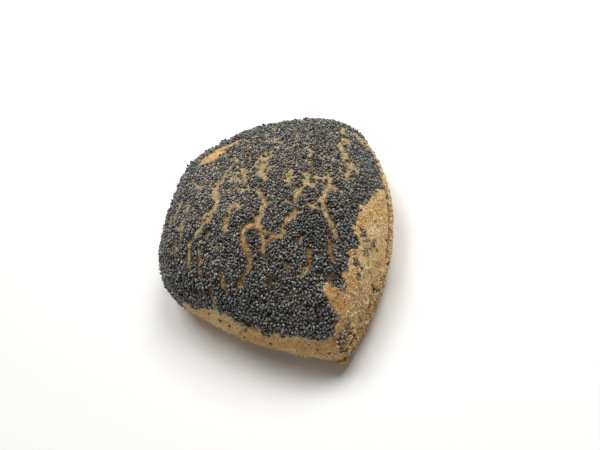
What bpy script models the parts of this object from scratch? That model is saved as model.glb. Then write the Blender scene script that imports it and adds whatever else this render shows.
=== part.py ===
"""A square-cut bread roll, modelled as one closed solid of crust.

The roll stands on the XY plane, centred on the Z axis. From above it is a rounded square whose sides
face roughly along X and Y, and the corner between its front and right sides is drawn out to a
point with a scrap of torn dough on it. From the side it is a puffy dome that is widest a little above
the base, curves under there, and rests on a flat base.
"""

import math

import bmesh
import bpy
from mathutils import Vector

# Outline from above: the reach of the crust from under its top, in metres, every 30 degrees from +X
# towards +Y. The longest is beside the pointed corner and the next is the corner to the left of it.
REACH = (
    0.0400, 0.0419, 0.0459,
    0.0405, 0.0393, 0.0437,
    0.0434, 0.0473, 0.0422,
    0.0438, 0.0502, 0.0434,
)

# The pointed corner: its heading, how far it is drawn out and half the angle that it takes up.
POINT_HEADING = math.radians(-60.0)
POINT_REACH = 0.0027
POINT_HALF_ANGLE = math.radians(8.0)

# The scrap of torn dough on the pointed corner, low on the crust.
SCRAP_REACH = 0.0018
SCRAP_HALF_ANGLE = math.radians(4.5)
SCRAP_HEIGHT = 0.0065
SCRAP_HALF_THICKNESS = 0.0040

# Cross-section: full height, height of the widest line, how far the base lies in from that line, and
# how boxy the dome is outwards and upwards, 2 being a plain ellipse.
HEIGHT = 0.0440
WIDEST_HEIGHT = 0.0110
BASE_INSET = 0.0070
DOME_OUTWARD = 2.45
DOME_UPWARD = 2.20

# How far the top of the dome has turned from square to round.
CROWN_ROUNDNESS = 0.5

# Where the dome ends and the underside takes over, as a share of the way from the widest line to the
# middle of the base.
UNDERCUT_SHARE = 0.36

# Slow waves that keep the top of the dome from being even.
WAVE_LENGTH = 0.034
WAVE_HEIGHT = 0.0005

# The solid starts as a cube with this many cuts across each face.
CUTS = 26

CRUST_COLOUR = (0.42, 0.27, 0.125, 1.0)
CRUST_ROUGHNESS = 0.78


def clear_scene():
    for old in list(bpy.data.objects):
        bpy.data.objects.remove(old)


def hump(angle, half_angle):
    """A smooth hump, 1 where the angle is nought and gone at about twice the half angle."""
    turned = (angle + math.pi) % math.tau - math.pi
    return math.exp(-((turned / half_angle) ** 2))


def rounded_square(heading):
    """The reach of the crust's widest line at a heading, without the point."""
    steps = heading % math.tau / math.tau * len(REACH)
    first = int(steps)
    share = steps - first
    before, start, end, after = (REACH[(first + step) % len(REACH)] for step in (-1, 0, 1, 2))
    bend = 2.0 * before - 5.0 * start + 4.0 * end - after
    twist = 3.0 * (start - end) + after - before
    return start + 0.5 * share * (end - before + share * (bend + share * twist))


def outline(heading, rise=0.0):
    """The reach of the crust at a heading, rise going from 0 at the widest line to 1 at the top.

    Higher up the point is gone and the square has turned rounder.
    """
    middle = sum(REACH) / len(REACH)
    rounder = CROWN_ROUNDNESS * rise * rise
    reach = rounded_square(heading) * (1.0 - rounder) + middle * rounder
    point = POINT_REACH * hump(heading - POINT_HEADING, POINT_HALF_ANGLE)
    return reach + point * (1.0 - rise) ** 2


def scrap(heading, height):
    """How far the torn scrap stands out from the pointed corner at a heading and height."""
    upwards = (height - SCRAP_HEIGHT) / SCRAP_HALF_THICKNESS
    sideways = hump(heading - POINT_HEADING, SCRAP_HALF_ANGLE)
    return SCRAP_REACH * sideways * math.exp(-upwards * upwards)


def wave(x, y):
    """The slow waves on top of the dome, as a height to add."""
    across = math.sin(math.tau * x / WAVE_LENGTH + 0.9)
    along = math.sin(math.tau * y / WAVE_LENGTH - 0.4)
    return WAVE_HEIGHT * across * along


def dome_point(heading, climb):
    """A point of the dome, climb going from 0 at the widest line to 1 at the top."""
    angle = climb * math.pi / 2.0
    inwards = max(0.0, math.cos(angle)) ** (2.0 / DOME_OUTWARD)
    upwards = math.sin(angle) ** (2.0 / DOME_UPWARD)
    height = WIDEST_HEIGHT + (HEIGHT - WIDEST_HEIGHT) * upwards
    radius = outline(heading, upwards) * inwards + scrap(heading, height)
    x = radius * math.cos(heading)
    y = radius * math.sin(heading)
    return Vector((x, y, height + wave(x, y) * upwards))


def underside_point(heading, drop):
    """A point of the underside, drop going from 0 at the widest line to 1 at the middle of the base."""
    if drop < UNDERCUT_SHARE:
        angle = drop / UNDERCUT_SHARE * math.pi / 2.0
        height = WIDEST_HEIGHT * (1.0 - math.sin(angle))
        radius = outline(heading) - BASE_INSET * (1.0 - math.cos(angle))
        radius += scrap(heading, height) * height / WIDEST_HEIGHT
    else:
        height = 0.0
        radius = (outline(heading) - BASE_INSET) * (1.0 - drop) / (1.0 - UNDERCUT_SHARE)
    return Vector((radius * math.cos(heading), radius * math.sin(heading), height))


def roll_point(cube_point):
    """The place on the roll of a point of the starting cube."""
    spread = Vector([math.tan(value * math.pi / 4.0) for value in cube_point])
    heading = math.atan2(spread.y, spread.x)
    climb = math.asin(spread.normalized().z) / (math.pi / 2.0)
    if climb >= 0.0:
        return dome_point(heading, climb)
    return underside_point(heading, -climb)


def crust_material():
    material = bpy.data.materials.new("crust")
    material.use_nodes = True
    shader = material.node_tree.nodes["Principled BSDF"]
    shader.inputs["Base Color"].default_value = CRUST_COLOUR
    shader.inputs["Roughness"].default_value = CRUST_ROUGHNESS
    return material


def centre_on_z_axis(bm):
    """Slides the roll sideways until its box, seen from above, has its centre on the Z axis."""
    across = [vertex.co.x for vertex in bm.verts]
    along = [vertex.co.y for vertex in bm.verts]
    centre = Vector((min(across) + max(across), min(along) + max(along), 0.0)) / 2.0
    bmesh.ops.translate(bm, verts=bm.verts[:], vec=-centre)


def make_roll():
    bm = bmesh.new()
    bmesh.ops.create_cube(bm, size=2.0)
    bmesh.ops.subdivide_edges(bm, edges=bm.edges[:], cuts=CUTS, use_grid_fill=True)
    for vertex in bm.verts:
        vertex.co = roll_point(vertex.co)
    base = [face for face in bm.faces if all(vertex.co.z == 0.0 for vertex in face.verts)]
    bmesh.ops.dissolve_faces(bm, faces=base, use_verts=True)
    bmesh.ops.recalc_face_normals(bm, faces=bm.faces[:])
    centre_on_z_axis(bm)
    mesh = bpy.data.meshes.new("roll")
    bm.to_mesh(mesh)
    bm.free()
    mesh.shade_smooth()
    mesh.materials.append(crust_material())
    roll = bpy.data.objects.new("roll", mesh)
    bpy.context.scene.collection.objects.link(roll)
    return roll


clear_scene()
make_roll()
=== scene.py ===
"""Dresses the poppy seed bread roll in its crust, seeds and crumbs, and sets the stage it stands on."""

import math

import bmesh
import bpy
import numpy as np
from bpy.props import FloatProperty, FloatVectorProperty, IntProperty, PointerProperty
from mathutils import Matrix, Vector, noise
from mathutils.bvhtree import BVHTree
from mathutils.kdtree import KDTree


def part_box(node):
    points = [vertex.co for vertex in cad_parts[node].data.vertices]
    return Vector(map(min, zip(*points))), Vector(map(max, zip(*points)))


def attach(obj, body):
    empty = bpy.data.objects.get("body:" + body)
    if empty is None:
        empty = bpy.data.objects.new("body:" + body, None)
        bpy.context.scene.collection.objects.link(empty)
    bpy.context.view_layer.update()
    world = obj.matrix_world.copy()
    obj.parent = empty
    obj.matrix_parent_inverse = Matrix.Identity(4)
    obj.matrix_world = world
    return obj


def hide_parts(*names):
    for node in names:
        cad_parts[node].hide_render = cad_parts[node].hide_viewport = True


bl_info = {
    "name": "Poppy Seed Roll",
    "version": (1, 0, 0),
    "blender": (4, 5, 0),
    "location": "3D View > Sidebar > Bread",
    "description": "Makes the crust, seeds and crumbs of a poppy seed bread roll, and the stage it stands on",
    "category": "Add Mesh",
}

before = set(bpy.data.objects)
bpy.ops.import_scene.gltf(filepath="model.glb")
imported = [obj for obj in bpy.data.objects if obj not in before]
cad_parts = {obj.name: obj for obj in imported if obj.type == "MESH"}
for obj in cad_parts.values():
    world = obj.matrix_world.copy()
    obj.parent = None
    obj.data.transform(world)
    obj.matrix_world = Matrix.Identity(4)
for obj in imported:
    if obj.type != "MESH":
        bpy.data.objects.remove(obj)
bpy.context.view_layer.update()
ROLL_LOW, ROLL_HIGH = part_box("roll")

MM = 0.001
# Places on the roll are given in millimetres from the middle of its base, as seen from above.
BASE_MIDDLE = Vector(((ROLL_LOW.x + ROLL_HIGH.x) / 2, (ROLL_LOW.y + ROLL_HIGH.y) / 2, ROLL_LOW.z))

# Splits and bare streaks between the seeds: points, half width and depth, and how brown the floor is.
CHANNELS = (
    (((1.5, 15.4), (2.3, 12.4)), 0.6, 0.5, 0.05), (((2.3, 12.4), (1.9, 9.8), (2.2, 8.2)), 0.8, 0.7, 0.05),
    (((2.2, 8.2), (3.7, 7.1), (4.9, 6.4)), 0.6, 0.5, 0.1), (((-1.6, 11.9), (1, 11.7)), 0.5, 0.3, 0.1),
    (((-4.9, 10.5), (-3.6, 8.5), (-2.6, 6)), 0.5, 0.35, 0.1),
    (((2.6, 1.8), (3.1, 0.2), (4.7, -0.8), (4.8, -2.6), (4.6, -5)), 0.92, 0.75, 0.1),
    (((4.6, -5), (3.9, -8.4), (4.2, -10.8)), 1.25, 0.8, 0.1),
    (((4.4, -10.8), (6.2, -14.3), (6.3, -16), (6.6, -19.4)), 0.68, 0.6, 0.25),
    (((3.7, -9), (0.4, -11), (-0.9, -12.8), (-1, -15), (-0.2, -17.3)), 0.76, 0.75, 0.35),
    (((-0.2, -17.3), (1.4, -18.8), (2, -20.5), (1.5, -22.8), (0.9, -24.4)), 1.08, 1, 0.55),
    (((0.9, -24.4), (-1.2, -27), (-1.9, -29)), 0.85, 0.8, 0.5),
    (((-9, 14.6), (-9.9, 11.8), (-12, 9), (-11.9, 7.4), (-13.2, 4.3)), 0.58, 0.5, 0.1),
    (((-13.2, 4.3), (-13.8, 2), (-12.4, 0), (-11.6, -1.8), (-12.4, -4.8)), 0.88, 0.75, 0.1),
    (((-12.4, -4.8), (-14.7, -8.4), (-16.4, -9.6)), 0.6, 0.6, 0.12),
    (((-16.4, -9.6), (-19.6, -12.8)), 0.58, 0.5, 0.15),
    (((-12.4, -4.8), (-15.4, -5.6), (-17.4, -6.6)), 0.6, 0.45, 0.12),
    (((-6.3, -3.4), (-7, -7.2), (-7.5, -8.9), (-7.8, -12.4)), 0.88, 0.65, 0.15),
    (((-3.6, -2.6), (-3.5, -4.2)), 0.6, 0.35, 0.1), (((-4.7, 2.5), (-2.9, 2.1)), 0.55, 0.35, 0.1),
    (((19.8, 5.3), (17.8, 4.9), (16.5, 2.8), (15.2, 0.4)), 1.08, 0.8, 0.08),
    (((16.6, -5.4), (15, -7.1), (13.6, -9)), 0.94, 0.7, 0.12),
    (((13.6, -9), (12, -11), (12.6, -12.2), (13.4, -12.9)), 0.68, 0.55, 0.3),
    (((21, 7.9), (23.4, 8.6), (25.4, 8.9)), 0.6, 0.4, 0.1),
    (((25.4, 8.9), (25.3, 6), (24.2, 2.3), (24, -1.4), (25.1, -3)), 0.92, 0.8, 0.08),
    (((25.1, -3), (25.9, -5.3), (27.2, -7.2), (28, -9.2), (28.9, -11.6)), 0.84, 0.8, 0.15),
    (((26.9, -13.4), (26.8, -15.1), (27.4, -16.9), (27.9, -19.4)), 0.55, 0.45, 0.4),
    (((19.8, -2.4), (21.6, -3.1), (23.2, -3.4)), 0.6, 0.45, 0.15),
    (((20.6, -18), (21.7, -20.3), (20.8, -23), (19.4, -25.4)), 0.78, 0.6, 0.6),
    (((18.2, -12.6), (18.5, -15.4)), 0.58, 0.4, 0.5), (((14.7, -22.8), (14.9, -24.4)), 0.58, 0.4, 0.55),
    (((7.4, -28.4), (11, -26.9)), 0.58, 0.4, 0.45),
    (((7.5, -15.5), (10.2, -14.6), (13.1, -14.3)), 0.55, 0.4, 0.45),
    (((6.8, -13.5), (9.1, -13)), 0.52, 0.35, 0.2), (((10.2, 6.1), (12.8, 7), (14.4, 7.5)), 0.44, 0.35, 0.1),
    (((12.3, 10.4), (12.6, 8.8)), 0.44, 0.3, 0.1), (((17.4, 9.9), (18.1, 7.6)), 0.58, 0.35, 0.15),
    (((12, -1.6), (13.6, -2.1)), 0.6, 0.4, 0.4),
    (((1.4, 22.9), (4.2, 23.5), (7.6, 21.9)), 0.48, 0.25, 0.08),
    (((3, 17.4), (5, 18.6), (6.6, 20.3)), 0.4, 0.25, 0.1), (((-8.1, 24.2), (-6, 23.9)), 0.5, 0.2, 0.05),
    (((17.4, 19.2), (18.2, 17.2)), 0.5, 0.25, 0.12), (((26.4, 24.2), (27.5, 22)), 0.62, 0.25, 0.15),
    (((28.4, 20.8), (28.2, 17), (30.6, 15.6), (29.8, 12), (30.1, 9.4)), 0.44, 0.3, 0.2),
    (((30.2, 17), (32.6, 14.7)), 0.42, 0.3, 0.15), (((27.4, 5.3), (29.4, 4.4)), 0.55, 0.35, 0.25),
    (((25, 33.4), (25.6, 31)), 0.55, 0.2, 0.1), (((26.9, 28.2), (27.2, 26.6)), 0.5, 0.2, 0.3),
    (((-24.9, -0.6), (-24.7, -5.2)), 0.54, 0.3, 0.08), (((-26.3, -6.4), (-25.9, -12.6)), 0.58, 0.35, 0.15),
    (((-28.2, -12.8), (-28, -18)), 0.54, 0.35, 0.15),
    (((-20.8, -13.8), (-21.6, -16.6), (-22.1, -20.4), (-21.8, -22.8)), 0.6, 0.4, 0.2),
    (((-17.6, -17.6), (-17.3, -21.4), (-17.5, -24.6)), 0.54, 0.35, 0.25),
    (((-11.1, -16.2), (-10.9, -17.8)), 0.55, 0.3, 0.3), (((-29, 2), (-30.5, -6)), 0.5, 0.25, 0.15),
    (((-14.9, -29.2), (-12.7, -30.6), (-14, -31.6)), 0.62, 0.4, 0.45),
    (((-9.1, -25.6), (-8.6, -27.6), (-7.9, -29.6)), 0.55, 0.4, 0.4),
)
# Bare patches that the seeds never reached: points, half width, depth and brownness, as above.
BARE_PATCHES = (
    (((-23.6, 17), (-21.4, 18)), 1.4, 0.2, 0), (((-21.2, 18.6), (-19.2, 20.2), (-16.7, 21.8)), 3, 0.25, 0),
    (((-13.8, 23.4), (-10.9, 25)), 1.1, 0.2, 0),
    (((27.6, 35.6), (29.2, 34.6), (30.6, 33), (31.8, 31.4)), 1.15, 0.15, 0),
    (((24.2, 34.9), (24.8, 33.6)), 0.6, 0.15, 0.2), (((27.4, 27.6), (27.9, 26.8)), 0.7, 0.15, 0.1),
)
# The edge of the seeded top, from the back right corner round the right side, the tip and the front.
SEED_EDGE = (
    (26.4, 44), (29.9, 38.6), (31, 36), (31.8, 33.6), (33, 31.9), (35, 28.6), (36.5, 26.3), (37.4, 23.8),
    (38.1, 21.4), (38.9, 18.4), (39.5, 14.8), (38.8, 11.2), (37.8, 7.1), (36.8, 3.6), (35, 1.5),
    (35.2, -1.2), (34.5, -4.3), (33.8, -6.8), (34.1, -8.5), (35.3, -9.4), (35.7, -10.8), (35, -12.9),
    (33, -15.4), (32.7, -20.3), (31.4, -22.4), (31.9, -24.4), (31.5, -26.9), (29.6, -27.4), (27.6, -26.5),
    (25.7, -27.6), (25.6, -29.9), (27.1, -31), (28.5, -32.8), (30.1, -34.5), (29.3, -37.1), (27.2, -40.1),
    (25, -41.6), (20, -42), (16.8, -41.6), (13.4, -41.1), (9.9, -40.8), (4.2, -40.4), (-1.1, -39.2),
    (-4.7, -38.1), (-7.1, -36.5), (-9.8, -35.1), (-12.7, -33.7), (-16.6, -33), (-20.8, -32.2),
    (-23.6, -31.2), (-26.4, -30), (-29.5, -28.7), (-32.2, -27.4), (-34.6, -25.7), (-36.6, -24), (-41, -20),
    (-60, -14), (-60, 60), (26.4, 60),
)
# Clusters of seeds beyond that edge, given in space: middle, radius and how thickly they lie.
OUTLYING_SEEDS = (
    ((37, -9.1, 29.1), 2.4, 0.5), ((38.7, -9.2, 25.5), 1.2, 0.95), ((36.7, -6.8, 30.2), 1.6, 0.75),
    ((37.5, -12.6, 27.2), 2, 0.6), ((34.6, -17.8, 29.3), 1.6, 0.95), ((35.2, -21.6, 26.8), 1.3, 0.6),
    ((30.8, -25.3, 29.7), 2, 0.95), ((30, -39.5, 17.3), 2.6, 0.85), ((31.9, -35.8, 19.9), 1.5, 0.85),
    ((31.3, -37.3, 16.7), 0.9, 0.7), ((28.2, -43, 12.6), 1, 0.7), ((29.7, -42.3, 9.6), 0.8, 0.8),
    ((28.4, -39.2, 20), 1.6, 0.6), ((40.2, 12.2, 18.8), 1.4, 0.95), ((-35.4, -24.2, 13), 1.7, 0.9),
    ((-33.4, -26, 13.6), 1.5, 0.9), ((-31.6, -27.4, 14.4), 1.3, 0.85),
)
# Areas where the seeds lie thinner, seen from above: middle, radius and the share that is left.
THIN_AREAS = (
    ((28.8, 17), 7, 0.88), ((25.5, -32.5), 2, 0.8), ((-21, 13.6), 2.6, 0.7),
)
# Areas where the seeds are darker or paler, seen from above: middle, radius and how bright they are; the
# paler ones are painted light.
SHADED_AREAS = (
    ((22, -10.5), 6.5, 0.72), ((14, -12), 4, 0.8), ((2.4, -14.7), 2.8, 0.72), ((-16, 2), 15, 1.34),
    ((-15, -23), 9, 1.14), ((2, 28), 13, 1.12),
)
# Single seeds stuck to bare crust, given in space.
LONE_SEEDS = (
    (39.1, -1, 26.2), (39.8, -10.3, 22.7), (41, -4, 17.8), (42, -5.5, 15.3), (41.3, -7, 16.7),
    (41.9, -7.1, 14.7), (36.2, -18.4, 26.8), (37.9, -17.8, 23.3), (41.5, -10.4, 12.7), (40.6, -15, 12.3),
    (40.2, -16.7, 12.6), (40.3, -15.9, 12.5), (35.7, -24.5, 23.2), (33.7, -27.3, 25), (35.3, -5.9, 32),
    (34.5, -14.9, 30.6), (36.3, -29.4, 13.3), (29.2, 36.4, 22.4), (30.4, 34.9, 21.4), (31.4, 33, 22.2),
    (32.4, 31.2, 22.4), (30.1, 32.9, 24.2), (31.8, 30.2, 24.8), (-14.8, 21.6, 36), (-18.9, 16.6, 37),
    (-12.9, 24.2, 35), (28.4, -30.8, 29), (29.8, -28.6, 29.4), (-17, -32.9, 20.4), (-13.3, -34.4, 19.6),
    (-12.6, -34.8, 19.4), (-9.5, -36.4, 18.6), (-5.8, -38.2, 17), (-5.4, -38.4, 13.6), (4.5, -41.6, 14.8),
    (19.3, -42, 18.6), (21.4, -43, 15.6), (24.8, -43.4, 13.2), (27, -42.6, 13), (-31.8, -27.2, 9.4),
)
# Grooves and tears of the sides, in space: points, half width, depth, how brown and how grey (a blemish, and
# painted shade in grooves).
SIDE_MARKS = (
    (((36.2, 24.5, 21.9), (38, 19.9, 21.8), (39.3, 16.4, 21), (40.1, 14.6, 19.2), (40.7, 12.1, 18.1),
      (41.1, 9.7, 17.3), (41.5, 6.9, 16.1), (41.8, 2.8, 15.5), (41.9, -1.6, 15), (41.8, -4.9, 14.6),
      (41.6, -8.7, 14.2)), 1.3, 0.95, 1, 0.5),
    (((40.3, 14, 19.2), (40.6, 12.6, 18.5)), 1.1, 1.3, 1, 0.75),
    (((39.9, 16.5, 17), (40.3, 15.4, 15.8), (40.7, 14.8, 14.4)), 0.6, 0.9, 0.7, 0),
    (((38.3, -21, 18.4), (38.6, -21.3, 16.1), (38.9, -21.1, 13.8),
      (39.2, -20.3, 11.8)), 0.75, 0.45, 0.3, 1),
    (((38.4, -22, 16.2), (37.9, -23, 15.1), (37.5, -24.9, 14.7), (37.1, -26.6, 14.4),
      (36.8, -27.8, 13.9)), 1.25, 1.2, 1, 0.4),
    (((33.2, -36.2, 12.6), (32.7, -37.2, 13.6)), 1.4, 1.9, 1, 0.75),
    (((32, -38.8, 14), (31.8, -39.2, 13.4)), 0.9, 1.2, 0.9, 0.8),
    (((31.5, -40, 12.4), (31.4, -40.3, 11.8)), 0.85, 1.1, 0.9, 0.85),
)
# The pinched lip of the right side, just below its groove, which the crust's colour also marks with a painted
# highlight.
LIP = (
    (34.7, 29, 20.2), (37, 24.4, 19.6), (39.2, 19, 18.6), (40.6, 13.8, 17.2), (41.2, 10.4, 15.6),
    (41.7, 7.2, 14.2), (41.9, 3.6, 13.6), (42, -0.4, 13.1), (42, -4.5, 12.7), (41.6, -9, 12.3),
)
# A streak of pale fibres on the right side, and the bare notch in the seeds above the tip.
WISPS = ((35.2, -26.4, 23.0), (33.6, -31.6, 21.6))
NOTCH = (29.0, -29.5)
TORN_TIP = (30.9, -39.4, 14.5)
FLAP_MIDDLE = (27.9, -43.3, 4.2)
FLAP_SIZE = (3.0, 1.8, 7.6)

RNG_SEED = 20240
# How many places are tried for seeds and for crumbs, and the height in mm below which no seed lies.
SEED_TRIALS, CRUMB_TRIALS = 260000, 60000
LOWEST_SEED = 8

# The soft lights: name, direction from the roll, and width and power in metres and watts.
SOFT_LIGHTS = (
    ("left softbox", (-0.215, 0.307, 0.927), 0.30, 3.0),
    ("right softbox", (0.295, 0.422, 0.857), 0.30, 3.5),
    ("low fill", (-0.683, -0.683, 0.259), 0.50, 0.8),
    ("right fill", (0.85, -0.31, 0.42), 0.40, 0.4),
)
LIGHT_DISTANCE = 0.70
# What the lights and the camera are turned to, and how far off the camera stands, in mm.
VIEW_MIDDLE = (2.0, 2.5, 15.0)
CAMERA_DISTANCE = 300


def srgb(code):
    """The linear colour of a six digit sRGB hex code."""
    parts = [int(code[i : i + 2], 16) / 255 for i in (0, 2, 4)]
    return tuple(p / 12.92 if p <= 0.04045 else ((p + 0.055) / 1.055) ** 2.4 for p in parts)


class RollSizes(bpy.types.PropertyGroup):
    """Sizes of the crust's relief, the seeds and the crumbs."""

    seed_length: FloatProperty(
        name="Seed Length", description="Long side of a poppy seed",
        default=1.06 * MM, min=0.5 * MM, unit="LENGTH",
    )
    seed_width: FloatProperty(
        name="Seed Width", description="Short side of a poppy seed",
        default=0.88 * MM, min=0.4 * MM, unit="LENGTH",
    )
    seed_thickness: FloatProperty(
        name="Seed Thickness", description="Height of a seed that lies flat",
        default=0.76 * MM, min=0.3 * MM, unit="LENGTH",
    )
    seed_spacing: FloatProperty(
        name="Seed Spacing", description="Usual distance between the middles of two seeds",
        default=0.84 * MM, min=0.4 * MM, unit="LENGTH",
    )
    bed_depth: FloatProperty(
        name="Seed Bed Depth", description="How far the crust lies below its bare level under the seeds",
        default=0.38 * MM, unit="LENGTH",
    )
    lump_height: FloatProperty(
        name="Lump Height", description="Height of the crust's soft lumps", default=0.42 * MM, unit="LENGTH"
    )
    crumb_size: FloatProperty(
        name="Crumb Size", description="Width of a typical crumb", default=0.62 * MM, unit="LENGTH"
    )
    crumb_count: IntProperty(
        name="Crumbs", description="Number of crumbs stuck to the bare edges", default=260, min=0
    )


class RollColours(bpy.types.PropertyGroup):
    """Colours of the crust, the seeds and the floor."""

    golden: FloatVectorProperty(
        name="Golden Crust", description="Bare crust, lightly baked", subtype="COLOR", min=0, max=1,
        default=srgb("F0D092"),
    )
    toasted: FloatVectorProperty(
        name="Toasted Crust", description="Bare crust, baked darker", subtype="COLOR", min=0, max=1,
        default=srgb("E0B06C"),
    )
    brown: FloatVectorProperty(
        name="Brown Crust", description="Floors of splits, and the lower side", subtype="COLOR", min=0, max=1,
        default=srgb("B4762E"),
    )
    flour: FloatVectorProperty(
        name="Flour", description="Flecks of baked flour", subtype="COLOR", min=0, max=1,
        default=srgb("FBE6BC"),
    )
    dusty: FloatVectorProperty(
        name="Dusty Crust", description="Crust in the gaps between seeds", subtype="COLOR", min=0, max=1,
        default=srgb("AEA282"),
    )
    slate: FloatVectorProperty(
        name="Slate Seeds", description="Blue grey poppy seeds", subtype="COLOR", min=0, max=1,
        default=srgb("585D60"),
    )
    grey: FloatVectorProperty(
        name="Grey Seeds", description="Warm grey poppy seeds", subtype="COLOR", min=0, max=1,
        default=srgb("5F5B54"),
    )
    black: FloatVectorProperty(
        name="Dark Seeds", description="The darkest poppy seeds", subtype="COLOR", min=0, max=1,
        default=srgb("2D2C2E"),
    )
    pale: FloatVectorProperty(
        name="Pale Seeds", description="The palest poppy seeds", subtype="COLOR", min=0, max=1,
        default=srgb("837F75"),
    )
    floor: FloatVectorProperty(
        name="Floor", description="The white table top", subtype="COLOR", min=0, max=1,
        default=srgb("F4F4F2"),
    )


def add_node(tree, kind, settings=None, inputs=None):
    """Adds one node, sets its own settings, and sets or links its inputs by name or number."""
    made = tree.nodes.new(kind)
    for key, value in (settings or {}).items():
        setattr(made, key, value)
    for key, value in (inputs or {}).items():
        if isinstance(value, bpy.types.NodeSocket):
            tree.links.new(value, made.inputs[key])
        else:
            made.inputs[key].default_value = value
    return made


def new_material(name):
    """An empty node material, its tree, and the Object coordinates that its patterns follow."""
    material = bpy.data.materials.new(name)
    material.use_nodes = True
    tree = material.node_tree
    tree.nodes.clear()
    return material, tree, add_node(tree, "ShaderNodeTexCoord").outputs["Object"]


def finish_material(material, surface):
    """Ends a material: its shader, set or linked as the surface says, and its output."""
    shader = add_node(material.node_tree, "ShaderNodeBsdfPrincipled", {}, surface)
    add_node(material.node_tree, "ShaderNodeOutputMaterial", {}, {"Surface": shader.outputs["BSDF"]})
    return material


def opaque(colour):
    """A colour with full alpha, as a colour socket takes it."""
    return (*colour, 1.0)


def ripple(points, length, shift):
    """Smooth noise from about -1 to 1 at each point, with lumps about that length across, in mm."""
    offset = Vector((shift * 7.31, shift * 3.17, shift * 5.71))
    return np.array([noise.noise(Vector(p) / length + offset) for p in points])


def ease(value, low, high):
    """0 below low, 1 above high, and a smooth rise between."""
    share = np.clip((value - low) / (high - low), 0, 1)
    return share * share * (3 - 2 * share)


def bell(distance, reach):
    """1 at no distance, about a third at the reach, and next to nothing past twice the reach."""
    return np.exp(-((distance / reach) ** 2))


def rearward(points, slant, start, end):
    """0 towards the front of the roll and 1 towards its back, along a line that slants to the right."""
    return ease(points[:, 1] - slant * points[:, 0], start, end)


def bearing(points):
    """The direction of each point from the roll's middle, in degrees: 0 is right and -90 is the front."""
    return np.degrees(np.arctan2(points[:, 1], points[:, 0]))


def level_distance(points, middle):
    """Distance of each point from a middle, seen from above."""
    return np.hypot(points[:, 0] - middle[0], points[:, 1] - middle[1])


def line_distance(points, line):
    """Distance from each point to a line of straight pieces, in space, or from above if the line is flat."""
    nearest = np.full(len(points), np.inf)
    held = points[:, : len(line[0])]
    for a, b in zip(line[:-1], line[1:]):
        start, along = np.array(a, float), np.subtract(b, a).astype(float)
        share = np.clip((held - start) @ along / (along @ along), 0, 1)
        nearest = np.minimum(nearest, np.linalg.norm(held - start - share[:, None] * along, axis=1))
    return nearest


def cell_border(points, size, stretch, shift):
    """How far each point lies from the border of its irregular cell, as a share of the cell's size."""
    offset = Vector((shift * 3.37, shift * 7.91, shift * 1.73))
    scale = np.array([1.0, 1.0 / stretch, 1.0]) / size
    ends = [noise.voronoi(Vector(p * scale) + offset)[0] for p in points]
    return np.array([(end[1] - end[0]) / 2 for end in ends])


def inside_loop(points, loop):
    """How far inside a closed loop each point is, seen from above; negative is outside."""
    x, y = points[:, 0], points[:, 1]
    crossings = np.zeros(len(points), int)
    closed = list(loop) + [loop[0]]
    for (xa, ya), (xb, yb) in zip(closed[:-1], closed[1:]):
        if ya == yb:
            continue
        spans = (ya > y) != (yb > y)
        crossings += spans & (x < xa + (y - ya) * (xb - xa) / (yb - ya))
    return np.where(crossings % 2 == 1, 1, -1) * line_distance(points, closed)


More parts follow.
